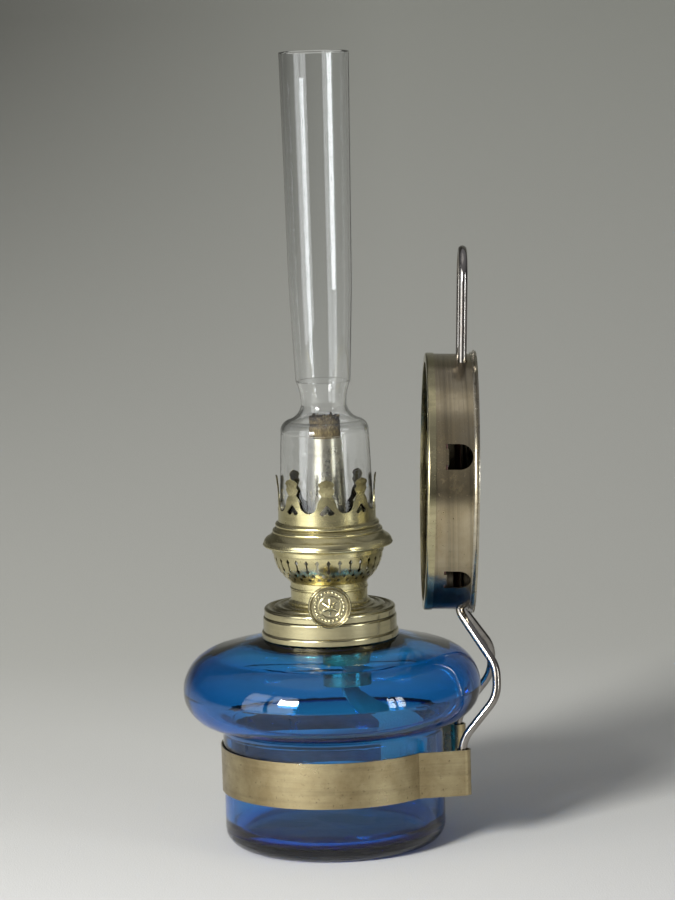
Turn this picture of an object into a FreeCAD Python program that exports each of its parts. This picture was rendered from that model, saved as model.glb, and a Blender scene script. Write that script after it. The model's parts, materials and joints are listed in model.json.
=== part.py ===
"""A kerosene lamp with a glass font, a round-wick burner, a chimney and a reflector on a wire hanger.

Millimetres, +Z up. The origin is the centre of the font's foot, on the surface that it stands on.
The reflector is on the +X side and the wick knob faces -Y.
"""

import FreeCAD, Part
import math
import os
import re

import Sketcher

V = FreeCAD.Vector

SIZES = {
    # glass font: a cylinder with a wide flattened belly above it and a neck
    "foot_radius": 47.1,
    "foot_round": 8.0,
    "waist_height": 48.6,
    "waist_round": 5.4,
    "belly_radius": 63.4,
    "belly_height": 67.0,
    "belly_upper_round": 17.0,
    "belly_lower_round": 14.3,
    "belly_upper_angle": 74.0,
    "belly_lower_angle": 76.0,
    "glass_wall": 3.0,
    "glass_floor": 6.0,
    "neck_radius": 25.4,
    "neck_bore": 22.0,
    "neck_top": 97.0,
    # brass collar that is cemented on the neck
    "sheet": 0.6,
    "collar_radius": 28.4,
    "collar_bead": 0.7,
    "collar_base": 89.4,
    "collar_top": 98.5,
    "collar_bore": 20.9,
    "collar_thread_end": 87.6,
    # burner base: thread ring, cap, throat and the case that leads the wick down into the oil
    "thread_radius": 20.8,
    "thread_wall": 0.8,
    "cap_radius": 27.9,
    "cap_base": 98.7,
    "cap_rim": 102.2,
    "cap_crown": 103.8,
    "cap_bore": 15.9,
    "throat_radius": 16.3,
    "throat_foot": 17.4,
    "throat_top": 112.9,
    "case_radius": 10.2,
    "case_offset": 6.6,
    "case_end": 70.0,
    # air basket under the gallery
    "basket_base": 113.2,
    "basket_top": 127.4,
    "basket_radius": 23.8,
    "basket_foot": 16.6,
    "basket_round": 17.0,
    "basket_slots": 30,
    # gallery: brim, skirt and crown of prongs
    "brim_radius": 27.9,
    "brim_height": 129.2,
    "skirt_radius": 22.9,
    "skirt_top": 135.0,
    "crown_radius": 20.8,
    "crown_base": 139.6,
    "valley_height": 144.2,
    "valley_radius": 4.0,
    "prong_waist": 151.5,
    "prong_lobe": 155.0,
    "prong_top": 158.6,
    "prongs": 8,
    "heart_height": 144.7,
    "heart_half": 3.2,
    # tubes and wick
    "tube_top": 174.2,
    "tube_top_radius": 7.16,
    "tube_base": 108.8,
    "tube_base_radius": 10.3,
    "tube_wall": 0.36,
    "draft_radius": 4.6,
    "draft_base": 112.2,
    "wick_outer": 6.48,
    "wick_inner": 4.92,
    "wick_top": 184.0,
    "wick_ring_base": 130.0,
    "wick_half_base": 98.0,
    "wick_end": 17.2,
    # raiser shaft, its wheels and the knob
    "shaft_height": 106.7,
    "shaft_radius": 1.2,
    "bush_radius": 1.8,
    "wheel_radius": 4.25,
    "wheel_teeth": 12,
    "knob_radius": 9.1,
    "knob_front": 33.2,
    "knob_thick": 2.4,
    # chimney glass
    "chimney_seat": 137.6,
    "chimney_foot_radius": 19.9,
    "bulb_radius": 19.2,
    "shoulder_height": 179.6,
    "throat_glass_radius": 9.7,
    "throat_glass_height": 187.8,
    "chimney_radius": 14.8,
    "chimney_top": 336.7,
    "chimney_wall": 1.3,
    # strap and wire hanger
    "strap_base": 24.2,
    "strap_width": 19.4,
    "strap_gap": 0.3,
    "strap_angle": 42.0,
    "strap_eye": 2.7,
    "wire_radius": 1.8,
    "leg_foot_x": 54.2,
    "leg_foot_y": 26.0,
    "leg_out_x": 69.2,
    "leg_bend": 14.0,
    "loop_half_width": 12.5,
    "loop_top": 253.6,
    # reflector drum, in its own frame: x = 0 is the front lip
    "lean": 2.05,
    "drum_x": 42.6,
    "drum_height": 154.0,
    "drum_radius": 54.1,
    "drum_depth": 19.2,
    "drum_sheet": 0.5,
    "lip_round": 1.2,
    "lip_proud": 0.4,
    "lip_width": 2.2,
    "bezel_opening": 50.6,
    "wire_x": 14.0,
    "tongue_x": 7.4,
    "tongue_length": 10.0,
    "tongue_width": 10.8,
    "tongue_notch": 1.2,
    "tongue_upper_angle": 19.0,
    "tongue_lower_angle": 41.0,
    "mirror_radius": 53.2,
    "mirror_dish": 5.0,
    "mirror_glass": 1.4,
    "back_radius": 55.4,
}

doc = FreeCAD.newDocument("lamp")
sheet = doc.addObject("Spreadsheet::Sheet", "sizes")
for row, (alias, value) in enumerate(SIZES.items(), 1):
    sheet.set(f"A{row}", alias)
    sheet.set(f"B{row}", str(value))
    sheet.setAlias(f"B{row}", alias)
doc.recompute()


def size(alias):
    """One driving dimension, read back from the sheet."""
    return float(sheet.get(alias))


def formula(text):
    """A formula in the sheet's aliases, as FreeCAD's expression engine reads it."""
    return re.sub(r"[a-z_]+", lambda word: f"sizes.{word[0]}" if word[0] in SIZES else word[0], text)


def worth(text):
    return float(sheet.evalExpression(formula(text)))


# ---------------------------------------------------------------- sketches and solids


def arc_middle(start, stop, radius, side):
    """The middle of an arc between two points that bulges left (+1) or right (-1) of the way."""
    chord = stop - start
    left = V(-chord.y, chord.x, 0).normalize()
    rise = radius - math.sqrt(radius**2 - (chord.Length / 2) ** 2)
    return (start + stop) * 0.5 + left * side * rise


def bind(sketch, kind, where, text):
    """Add a constraint and drive it from the sheet."""
    index = sketch.addConstraint(Sketcher.Constraint(kind, *where, worth(text)))
    sketch.setExpression(f"Constraints[{index}]", formula(text))


def outline(sketch, corners):
    """Draw a closed outline through corners, each a pair of formulas.

    A corner with four values ends an arc: the third is its radius and the fourth says whether it
    bulges to the left (+1) or to the right (-1) of the way from the corner before.
    """
    places = [V(worth(corner[0]), worth(corner[1]), 0) for corner in corners]
    ends = []
    for number, corner in enumerate(corners):
        start = places[number - 1]
        stop = places[number]
        if len(corner) == 2:
            edge = Part.LineSegment(start, stop)
        else:
            edge = Part.Arc(start, arc_middle(start, stop, worth(corner[2]), corner[3]), stop)
        index = sketch.addGeometry(edge)
        forward = sketch.getPoint(index, 1).distanceToPoint(start) < 1e-6
        ends.append((index, 1, 2) if forward else (index, 2, 1))
    for here, following in zip(ends, ends[1:] + ends[:1]):
        sketch.addConstraint(Sketcher.Constraint("Coincident", here[0], here[2], following[0], following[1]))
    for (index, _, last), corner in zip(ends, corners):
        bind(sketch, "DistanceX", (-1, 1, index, last), corner[0])
        bind(sketch, "DistanceY", (-1, 1, index, last), corner[1])
        if len(corner) == 4:
            bind(sketch, "Radius", (index,), corner[2])


def both_sides(corners):
    """Corners that end on the upright axis, followed by their mirror image walked backwards."""
    bends = [corner[2:] for corner in corners[1:]]
    places = [(f"0 - ({across})", up) for across, up, *_ in corners[:-1]]
    return corners + [place + bend for place, bend in zip(reversed(places), reversed(bends))]


def hole(sketch, across, up, radius):
    """Draw a circle."""
    index = sketch.addGeometry(Part.Circle(V(worth(across), worth(up), 0), V(0, 0, 1), worth(radius)))
    bind(sketch, "DistanceX", (-1, 1, index, 3), across)
    bind(sketch, "DistanceY", (-1, 1, index, 3), up)
    bind(sketch, "Radius", (index,), radius)


def new_sketch(body, plane, name):
    """A sketch on one of a body's own origin planes."""
    sketch = body.newObject("Sketcher::SketchObject", name)
    face = next(item for item in body.Origin.OriginFeatures if item.Role == plane)
    sketch.AttachmentSupport = [(face, "")]
    sketch.MapMode = "FlatFace"
    doc.recompute()
    return sketch


def new_body(label):
    body = doc.addObject("PartDesign::Body", label)
    body.Label = label
    return body


def turned(label, corners, plane="XZ_Plane", axis="V_Axis"):
    """A sheet-metal, glass or woven piece turned round an axis from its section."""
    body = new_body(label)
    sketch = new_sketch(body, plane, f"{label}_section")
    outline(sketch, corners)
    revolution = body.newObject("PartDesign::Revolution", f"{label}_turned")
    revolution.Profile = sketch
    revolution.ReferenceAxis = (sketch, [axis])
    revolution.Angle = 360
    doc.recompute()
    return body


def cut_round(body, name, count, draw, turn=0):
    """Cut an outline through a turned piece's wall, facing turn degrees from -Y, all round the axis."""
    before = body.Shape.Volume
    sketch = new_sketch(body, "XZ_Plane", name)
    sketch.AttachmentOffset = FreeCAD.Placement(V(), FreeCAD.Rotation(V(0, 1, 0), turn))
    draw(sketch)
    pocket = body.newObject("PartDesign::Pocket", f"{name}_cut")
    pocket.Profile = sketch
    pocket.Reversed = True
    pocket.setExpression("Length", formula("brim_radius + 4"))
    doc.recompute()
    if pocket.Shape.Volume >= before:
        raise RuntimeError(f"{name} cuts nothing")
    pattern = body.newObject("PartDesign::PolarPattern", f"{name}_round")
    pattern.Originals = [pocket]
    pattern.Axis = (sketch, ["V_Axis"])
    pattern.Angle = 360
    pattern.setExpression("Occurrences", formula(count))
    body.Tip = pattern
    doc.recompute()
    return body


def placed(label, shape, placement=None):
    """A sub-part whose shape is worked out from the sheet's sizes."""
    piece = doc.addObject("Part::Feature", label)
    piece.Label = label
    piece.Shape = shape
    piece.Placement = placement or FreeCAD.Placement()
    return piece


# ---------------------------------------------------------------- font and collar


def font_glass():
    upper = worth("belly_upper_angle")
    lower = worth("belly_lower_angle")
    reach_up = f"belly_radius - belly_upper_round * {1 - math.cos(math.radians(upper)):.5f}"
    rise_up = f"belly_upper_round * {math.sin(math.radians(upper)):.5f}"
    reach_down = f"belly_radius - belly_lower_round * {1 - math.cos(math.radians(lower)):.5f}"
    drop_down = f"belly_lower_round * {math.sin(math.radians(lower)):.5f}"
    inner = "foot_radius - glass_wall"
    return turned(
        "font_glass",
        [
            ("0", "0"),
            ("foot_radius - foot_round", "0"),
            ("foot_radius", "foot_round", "foot_round", -1),
            ("foot_radius", "waist_height"),
            (reach_down, f"belly_height - {drop_down}", "waist_round", 1),
            ("belly_radius", "belly_height", "belly_lower_round", -1),
            (reach_up, f"belly_height + {rise_up}", "belly_upper_round", -1),
            ("neck_radius + 2.2", "collar_base - 0.1"),
            ("neck_radius", "collar_base + 1.6", "2.4", 1),
            ("neck_radius", "neck_top"),
            ("neck_bore", "neck_top"),
            ("neck_bore", "collar_base - 2.6"),
            (f"{reach_up} - 1", f"belly_height + {rise_up} - glass_wall", "60", 1),
            ("belly_radius - glass_wall", "belly_height", "belly_upper_round - glass_wall + 1", 1),
            (f"{reach_down} - 1", f"belly_height - {drop_down} + glass_wall", "belly_lower_round - 2", 1),
            (inner, "waist_height + 0.6", "waist_round + glass_wall", -1),
            (inner, "foot_round + glass_floor - 2"),
            (f"{inner} - 6", "glass_floor", "6.4", 1),
            ("0", "glass_floor"),
        ],
    )


def collar():
    return turned(
        "collar",
        [
            ("collar_radius - sheet", "collar_base"),
            ("collar_radius + collar_bead", "collar_base"),
            ("collar_radius + collar_bead", "collar_base + 1.9"),
            ("collar_radius", "collar_base + 2.9", "1.2", -1),
            ("collar_radius", "collar_top - 1"),
            ("collar_radius - 1", "collar_top", "1", -1),
            ("collar_bore", "collar_top"),
            ("collar_bore", "collar_thread_end"),
            ("collar_bore + sheet", "collar_thread_end"),
            ("collar_bore + sheet", "collar_top - sheet"),
            ("collar_radius - sheet", "collar_top - sheet"),
        ],
    )


def collar_cement():
    return turned(
        "collar_cement",
        [
            ("neck_radius", "collar_base + 1.8"),
            ("collar_radius - sheet", "collar_base + 1.8"),
            ("collar_radius - sheet", "collar_top - sheet"),
            ("collar_bore + sheet", "collar_top - sheet"),
            ("collar_bore + sheet", "neck_top"),
            ("neck_radius", "neck_top"),
        ],
    )


# ---------------------------------------------------------------- burner


def thread_ring():
    return turned(
        "thread_ring",
        [
            ("thread_radius - thread_wall", "collar_thread_end + 1"),
            ("thread_radius", "collar_thread_end + 1"),
            ("thread_radius", "cap_base"),
            ("cap_radius - sheet", "cap_base"),
            ("cap_radius - sheet", "cap_base + sheet"),
            ("thread_radius - thread_wall", "cap_base + sheet"),
        ],
    )


def burner_cap():
    """A disc with a rolled rim and two grooves, rising towards the throat."""
    return turned(
        "burner_cap",
        [
            ("cap_radius - sheet", "cap_base"),
            ("cap_radius", "cap_base"),
            ("cap_radius", "cap_rim - 1.6"),
            ("cap_radius - 1", "cap_rim", "1.2", -1),
            ("cap_radius - 2.6", "cap_rim - 0.6", "1.4", -1),
            ("cap_radius - 4.4", "cap_rim + 0.3", "1.4", 1),
            ("cap_radius - 7.2", "cap_rim + 0.5", "2.2", -1),
            ("cap_radius - 8.6", "cap_rim + 1.1", "1.4", 1),
            ("cap_bore + 1.8", "cap_crown"),
            ("cap_bore", "cap_crown"),
            ("cap_bore", "cap_crown - sheet"),
            ("cap_bore + 1.6", "cap_crown - sheet"),
            ("cap_radius - 8.8", "cap_rim + 0.5"),
            ("cap_radius - 7.3", "cap_rim - 0.2"),
            ("cap_radius - 4.4", "cap_rim - 0.4"),
            ("cap_radius - 2.5", "cap_rim - 1.3"),
            ("cap_radius - sheet", "cap_rim - 1.4"),
        ],
    )


def burner_throat():
    """The waist of the burner, with a flared foot and one raised ring, bored for the shaft bush."""
    body = turned(
        "burner_throat",
        [
            ("throat_radius - sheet", "cap_crown"),
            ("throat_foot", "cap_crown"),
            ("throat_foot", "cap_crown + 0.7"),
            ("throat_radius", "cap_crown + 1.9", "1.6", 1),
            ("throat_radius", "throat_top - 3.2"),
            ("throat_radius", "throat_top - 2", "0.75", -1),
            ("throat_radius", "throat_top"),
            ("throat_radius - sheet", "throat_top"),
        ],
    )
    sketch = new_sketch(body, "XZ_Plane", "bush_hole")
    hole(sketch, "0", "shaft_height", "bush_radius")
    pocket = body.newObject("PartDesign::Pocket", "bush_hole_cut")
    pocket.Profile = sketch
    pocket.Reversed = True
    pocket.setExpression("Length", formula("throat_foot + 4"))
    body.Tip = pocket
    return body


def wick_case():
    """The sheath that hangs below the cap, set off centre, with the plate that holds it."""
    plate = Part.makeCylinder(
        worth("thread_radius - thread_wall"), size("sheet"), V(0, 0, size("cap_base") - size("sheet"))
    )
    foot = V(size("case_offset"), 0, size("case_end"))
    height = size("cap_base") - size("case_end")
    sheath = Part.makeCylinder(size("case_radius"), height, foot)
    bore = Part.makeCylinder(size("case_radius") - 0.5, height + 1, foot)
    return placed("wick_case", plate.fuse(sheath).cut(bore).removeSplitter())


def air_basket():
    """A bowl with a row of slots, each between two diamonds, over two rows of round holes."""
    body = turned(
        "air_basket",
        [
            ("throat_radius - sheet", "throat_top"),
            ("basket_foot", "throat_top"),
            ("basket_foot", "basket_base"),
            ("basket_radius - 0.5", "basket_top - 1.6", "basket_round", -1),
            ("basket_radius", "basket_top - 1.6"),
            ("basket_radius", "basket_top"),
            ("basket_radius - sheet - 0.5", "basket_top"),
            ("basket_radius - sheet - 0.5", "basket_top - 1.6"),
            ("basket_foot - sheet", "basket_base + 0.3", "basket_round - sheet", 1),
            ("throat_radius - sheet", "basket_base + 0.3"),
        ],
    )

    def slot(sketch):
        top = "basket_top - 3.9"
        low = "basket_top - 7.6"
        outline(
            sketch,
            [
                ("0", f"{top} + 1.3"),
                ("0 - 0.95", top),
                ("0 - 0.35", f"{top} - 0.8"),
                ("0 - 0.35", f"{low} + 0.8"),
                ("0 - 0.95", low),
                ("0", f"{low} - 1.3"),
                ("0.95", low),
                ("0.35", f"{low} + 0.8"),
                ("0.35", f"{top} - 0.8"),
                ("0.95", top),
            ],
        )

    def upper_hole(sketch):
        hole(sketch, "2.1", "basket_top - 9.7", "0.75")

    def lower_hole(sketch):
        hole(sketch, "0", "basket_top - 11.5", "0.7")

    cut_round(body, "slot", "basket_slots", slot)
    cut_round(body, "upper_hole", "basket_slots", upper_hole)
    return cut_round(body, "lower_hole", "basket_slots", lower_hole)


def perforated_plate(label, inner, outer, height, rings):
    """A flat annular plate with rings of round air holes: each ring is (radius, count, hole radius)."""
    body = turned(
        label,
        [
            (inner, height),
            (outer, height),
            (outer, f"{height} + sheet"),
            (inner, f"{height} + sheet"),
        ],
    )
    for number, (radius, count, bore) in enumerate(rings, 1):
        sketch = new_sketch(body, "XY_Plane", f"{label}_hole_{number}")
        hole(sketch, radius, "0", bore)
        pocket = body.newObject("PartDesign::Pocket", f"{label}_bore_{number}")
        pocket.Profile = sketch
        pocket.Type = "ThroughAll"
        pocket.Midplane = True
        pattern = body.newObject("PartDesign::PolarPattern", f"{label}_ring_{number}")
        pattern.Originals = [pocket]
        pattern.Axis = (sketch, ["N_Axis"])
        pattern.Angle = 360
        pattern.Occurrences = count
        body.Tip = pattern
        doc.recompute()
    return body


def tube_plate():
    return perforated_plate(
        "tube_plate", "tube_base_radius - 0.08", "throat_radius - sheet", "throat_top - 2", [("12.9", 12, "1.4")]
    )


def diffuser_plate():
    rings = [("12.2", 16, "0.9"), ("15.6", 22, "0.9"), ("19.0", 28, "0.9")]
    return perforated_plate("diffuser_plate", "9.55", "basket_radius - sheet - 0.6", "basket_top - 2", rings)


def outer_wick_tube():
    return turned(
        "outer_wick_tube",
        [
            ("tube_base_radius - tube_wall", "tube_base"),
            ("tube_base_radius", "tube_base"),
            ("tube_top_radius", "tube_top"),
            ("tube_top_radius - tube_wall", "tube_top"),
        ],
    )


def draft_tube():
    """The inner tube that brings air to the middle of the flame, with its bracket on the -X side."""
    outer = Part.makeCylinder(
        size("draft_radius"), worth("tube_top - draft_base"), V(0, 0, size("draft_base"))
    )
    reach = worth("tube_base_radius - tube_wall") - 0.6
    bracket = Part.makeBox(reach, 4, 1.6, V(-reach, -2, size("draft_base")))
    bore = Part.makeCylinder(
        size("draft_radius") - 0.4, worth("tube_top - draft_base") + 2, V(0, 0, size("draft_base") - 1)
    )
    return placed("draft_tube", outer.fuse(bracket).cut(bore).removeSplitter())


def shaft_bush():
    """The tube that the raiser shaft turns in, from inside the burner to just outside its throat."""
    return placed_on_shaft(
        turned(
            "shaft_bush",
            [
                ("shaft_radius + 0.05", "0 - 20.6"),
                ("shaft_radius + 1.2", "0 - 20.6"),
                ("shaft_radius + 1.2", "0 - 18.4"),
                ("bush_radius", "0 - 18.4"),
                ("bush_radius", "0 - 3.4"),
                ("shaft_radius + 0.05", "0 - 3.4"),
            ],
            plane="XY_Plane",
        )
    )


def placed_on_shaft(piece):
    """Lift a piece that was drawn round the Y axis to the height of the raiser shaft."""
    piece.setExpression("Placement.Base.z", formula("shaft_height"))
    return piece


# ---------------------------------------------------------------- wick and its raiser


def wick():
    """A woven tube round the draft tube, a half tube past the wheels and one flat tail in the oil."""
    ring = tube_between("wick_ring_base", "wick_top")
    half = tube_between("wick_half_base", "wick_ring_base")
    keep = Part.makeBox(20, 20, 60, V(2.8, -10, size("wick_half_base") - 5))
    top = size("wick_half_base")
    end = size("wick_end")
    side = [
        V(5.0, 0, top + 2),
        V(6.4, 0, top + 2),
        V(13, 0, 64),
        V(31, 0, 52),
        V(40.5, 0, 42),
        V(40.5, 0, end),
        V(20, 0, end),
        V(20, 0, 42),
        V(7, 0, 60),
        V(5.0, 0, 80),
    ]
    tail = Part.Face(Part.makePolygon(side + side[:1])).extrude(V(0, 1.6, 0))
    tail.translate(V(0, -0.8, 0))
    return placed("wick", ring.fuse([half.common(keep), tail]).removeSplitter())


def tube_between(low, high):
    start = V(0, 0, size(low))
    height = size(high) - size(low)
    outer = Part.makeCylinder(size("wick_outer"), height, start)
    return outer.cut(Part.makeCylinder(size("wick_inner"), height, start))


def wick_shaft():
    return placed_on_shaft(
        turned(
            "wick_shaft",
            [
                ("0", "0 - knob_front + knob_thick"),
                ("shaft_radius", "0 - knob_front + knob_thick"),
                ("shaft_radius", "3.4"),
                ("shaft_radius - 0.3", "3.7"),
                ("0", "3.7"),
            ],
            plane="XY_Plane",
        )
    )


def raiser_wheels():
    """Two toothed wheels, side by side on the shaft, that grip the wick's inner face."""
    teeth = int(size("wheel_teeth"))
    points = []
    for step in range(4 * teeth):
        angle = 2 * math.pi * step / (4 * teeth)
        radius = size("wheel_radius") if step % 4 in (0, 1) else size("wheel_radius") - 1
        points.append(V(radius * math.sin(angle), 0, radius * math.cos(angle)))
    face = Part.Face(Part.makePolygon(points + points[:1]))
    bore = Part.makeCylinder(size("shaft_radius"), 10, V(0, -5, 0), V(0, 1, 0))
    wheels = []
    for place in (-1.9, 0.7):
        wheel = face.extrude(V(0, 1.2, 0)).cut(bore)
        wheel.translate(V(0, place, 0))
        wheels.append(wheel)
    return placed_on_shaft(placed("raiser_wheels", Part.makeCompound(wheels)))


def knob():
    """A pressed disc with a double rim, a ring of dots and a small star in its recess."""
    front = "0 - knob_front"
    body = turned(
        "knob",
        [
            ("0", f"{front} + knob_thick"),
            ("0", f"{front} + 0.9"),
            ("knob_radius - 2.4", f"{front} + 0.9"),
            ("knob_radius - 2.0", f"{front} + 0.4"),
            ("knob_radius - 1.3", f"{front} + 0.5", "0.42", 1),
            ("knob_radius - 0.2", f"{front} + 0.6", "0.62", 1),
            ("knob_radius", f"{front} + 1.6", "1.2", 1),
            ("knob_radius - 0.6", f"{front} + knob_thick", "1.2", 1),
        ],
        plane="XY_Plane",
    )
    return placed_on_shaft(body)


def knob_rivet():
    """The riveted end of the shaft in the middle of the knob."""
    dome = 1.8
    seat = 0.9 - size("knob_front")
    ball = Part.makeSphere(dome, V(0, seat - 0.8 + dome, 0))
    cap = ball.common(Part.makeBox(4, 1, 4, V(-2, seat - 1, -2)))
    return placed_on_shaft(placed("knob_rivet", cap))


# ---------------------------------------------------------------- gallery and chimney


def gallery():
    """Brim, hollow skirt and crown, drawn from one sheet, with prongs that hold the chimney."""
    body = turned(
        "gallery",
        [
            ("crown_radius", "prong_top"),
            ("crown_radius - 0.75", "prong_waist"),
            ("crown_radius - 0.5", "crown_base - 1"),
            ("crown_radius - 0.1", "crown_base - 2.2"),
            ("crown_radius - 0.1", "crown_base - 3.4"),
            ("skirt_radius - 1.2", "skirt_top - 0.6"),
            ("brim_radius - 4", "brim_height + 2.2", "9", 1),
            ("brim_radius - 1.6", "brim_height + 0.4"),
            ("basket_radius - 2.2", "brim_height - 0.6"),
            ("basket_radius - 2.2", "basket_top"),
            ("basket_radius", "basket_top"),
            ("brim_radius - 0.8", "brim_height - 0.7"),
            ("brim_radius - 0.6", "brim_height + 0.6", "0.75", -1),
            ("brim_radius - 1.9", "brim_height + 2.8", "3.4", -1),
            ("skirt_radius + 0.3", "skirt_top - 0.7", "8", 1),
            ("skirt_radius - 0.9", "skirt_top + 0.6", "0.9", -1),
            ("crown_radius + 0.6", "crown_base - 3.2"),
            ("crown_radius + 0.4", "crown_base - 1.0", "1.15", -1),
            ("crown_radius", "crown_base - 0.6"),
            ("crown_radius - 0.25", "prong_waist"),
            ("crown_radius + 0.5", "prong_top"),
        ],
    )

    def gap(sketch):
        """The space between two prongs, whose sides are the prongs' tips, lobes and waists."""
        half = f"crown_radius * {math.sin(math.pi / SIZES['prongs']):.5f}"
        sides = [
            (f"{half} - 0.3", "prong_top + 0.6"),
            (f"{half} - 0.5", "prong_top - 0.3"),
            (f"{half} - 3.3", "prong_lobe + 1.4", "3", -1),
            (f"{half} - 3.4", "prong_lobe - 0.9", "1.3", 1),
            (f"{half} - 2.1", "prong_waist"),
            ("valley_radius - 0.1", "valley_height + valley_radius - 0.8", "8", -1),
            ("0", "valley_height", "valley_radius", 1),
        ]
        outline(sketch, both_sides(sides))

    def heart(sketch):
        """A heart upside down: its point is towards the prong above it."""
        outline(
            sketch,
            [
                ("0", "heart_height + 3.3"),
                ("0 - heart_half", "heart_height - 0.2"),
                ("0", "heart_height + 0.1", "heart_half / 2 + 0.08", -1),
                ("heart_half", "heart_height - 0.2", "heart_half / 2 + 0.08", -1),
            ],
        )

    cut_round(body, "heart", "prongs", heart)
    return cut_round(body, "gap", "prongs", gap, turn=180 / SIZES["prongs"])


def chimney_seat():
    """The ledge inside the crown that the chimney stands on."""
    return turned(
        "chimney_seat",
        [
            ("crown_radius - 3.4", "chimney_seat - 2.4"),
            ("crown_radius - 2.9", "chimney_seat - 2.4"),
            ("crown_radius - 2.9", "chimney_seat - 0.5"),
            ("crown_radius - 0.2", "chimney_seat - 0.5"),
            ("crown_radius - 0.2", "chimney_seat"),
            ("crown_radius - 3.4", "chimney_seat"),
        ],
    )


def chimney_glass():
    """Straight foot, sharp shoulder, waist at the flame, then a long tube that widens slowly."""
    outer = [
        ("chimney_foot_radius", "chimney_seat"),
        ("bulb_radius", "shoulder_height - 14"),
        ("bulb_radius - 0.5", "shoulder_height - 3"),
        ("bulb_radius - 4.3", "shoulder_height + 2.4", "4.9", -1),
        ("throat_glass_radius", "throat_glass_height", "7.5", 1),
        ("throat_glass_radius + 2", "throat_glass_height + 10.6", "24", 1),
        ("chimney_radius - 1.4", "throat_glass_height + 50"),
        ("chimney_radius", "chimney_top - 0.6"),
    ]
    inner = [
        ("chimney_radius - chimney_wall", "chimney_top - 0.6", "0.7", -1),
        ("chimney_radius - 1.4 - chimney_wall", "throat_glass_height + 50"),
        ("throat_glass_radius + 2 - chimney_wall", "throat_glass_height + 10.4"),
        ("throat_glass_radius - chimney_wall", "throat_glass_height", "24", -1),
        ("bulb_radius - 4.6", "shoulder_height + 2.4 - chimney_wall", "8.5", -1),
        ("bulb_radius - 0.5 - chimney_wall", "shoulder_height - 3.4", "4", 1),
        ("bulb_radius - chimney_wall", "shoulder_height - 14"),
        ("chimney_foot_radius - chimney_wall", "chimney_seat"),
    ]
    return turned("chimney_glass", outer + inner)


# ---------------------------------------------------------------- bracket


def rounded_path(points, radii):
    """A wire of straight runs joined by tangent arcs, one radius for each inner point."""
    edges = []
    start = points[0]
    for before, corner, after, radius in zip(points, points[1:], points[2:], radii):
        back = (before - corner).normalize()
        ahead = (after - corner).normalize()
        half = back.getAngle(ahead) / 2
        cut = radius / math.tan(half)
        bisector = (back + ahead).normalize()
        middle = corner + bisector * (radius / math.sin(half) - radius)
        edges.append(Part.LineSegment(start, corner + back * cut).toShape())
        edges.append(Part.Arc(corner + back * cut, middle, corner + ahead * cut).toShape())
        start = corner + ahead * cut
    edges.append(Part.LineSegment(start, points[-1]).toShape())
    return edges


def hanger_wire():
    """One wire from strap end to strap end: round the belly, through the drum and over the loop."""
    lean = math.radians(size("lean"))

    def in_drum(height):
        rise = height - size("drum_height")
        return size("drum_x") + size("wire_x") * math.cos(lean) + rise * math.tan(lean)

    foot_y = size("leg_foot_y")
    half = size("loop_half_width")
    entry = size("collar_top") + 1.3
    crown = size("loop_top") - size("wire_radius") - half
    leg = [
        V(size("leg_foot_x"), -foot_y, size("strap_base") + 0.5),
        V(size("leg_foot_x"), -foot_y, size("waist_height") - 1.2),
        V(size("leg_out_x"), -foot_y + 0.5, size("belly_height") - 1.4),
        V(size("leg_out_x"), -foot_y + 2.5, size("belly_height") + 11),
        V(in_drum(entry), -half, entry),
        V(in_drum(crown), -half, crown),
    ]
    bends = [size("leg_bend")] * 3 + [size("leg_bend") - 6]
    near = rounded_path(leg, bends)
    far = [edge.mirror(V(0, 0, 0), V(0, 1, 0)) for edge in near]
    top = V(in_drum(crown) + half * math.sin(lean), 0, crown + half * math.cos(lean))
    over = Part.Arc(leg[-1], top, V(leg[-1].x, half, leg[-1].z)).toShape()
    path = Part.Wire(Part.sortEdges(near + [over] + far)[0])
    section = Part.Wire(Part.makeCircle(size("wire_radius"), leg[0], V(0, 0, 1)))
    return placed("hanger_wire", path.makePipeShell([section], True, True))


def strap():
    """A spring strip round the font whose two ends curl round the feet of the wire."""
    thick = size("sheet")
    inner = size("foot_radius") + size("strap_gap")
    angle = math.radians(size("strap_angle"))
    leaves = V(inner * math.cos(angle), -inner * math.sin(angle), 0)
    eye = V(size("leg_foot_x"), -size("leg_foot_y"), 0)
    curl = size("strap_eye")
    towards = eye - leaves
    heading = math.atan2(towards.y, towards.x) - math.asin(curl / towards.Length)
    run = math.sqrt(towards.Length**2 - curl**2)
    touch = leaves + V(math.cos(heading), math.sin(heading), 0) * run
    first = heading - math.pi / 2
    around = [eye + V(math.cos(first + turn), math.sin(first + turn), 0) * curl for turn in (2.1, 4.2)]
    near = [
        Part.LineSegment(leaves, touch).toShape(),
        Part.Arc(touch, around[0], around[1]).toShape(),
    ]
    far = [edge.mirror(V(0, 0, 0), V(0, 1, 0)) for edge in near]
    band = Part.Arc(leaves, V(-inner, 0, 0), V(leaves.x, -leaves.y, 0)).toShape()
    path = Part.Wire(Part.sortEdges(near + [band] + far)[0])
    strip = path.makeOffset2D(thick, 0, True, True, False)
    if abs(strip.BoundBox.XMin + inner) < thick / 2:
        strip = path.makeOffset2D(-thick, 0, True, True, False)
    solid = strip.extrude(V(0, 0, size("strap_width")))
    return placed("strap", solid, FreeCAD.Placement(V(0, 0, size("strap_base")), FreeCAD.Rotation()))


# ---------------------------------------------------------------- reflector


def leaning(piece):
    """Put a piece drawn in the drum's frame in its place, leaning back a little."""
    turn = FreeCAD.Rotation(V(0, 1, 0), size("lean"))
    piece.Placement = FreeCAD.Placement(V(size("drum_x"), 0, size("drum_height")), turn)
    return piece


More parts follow.
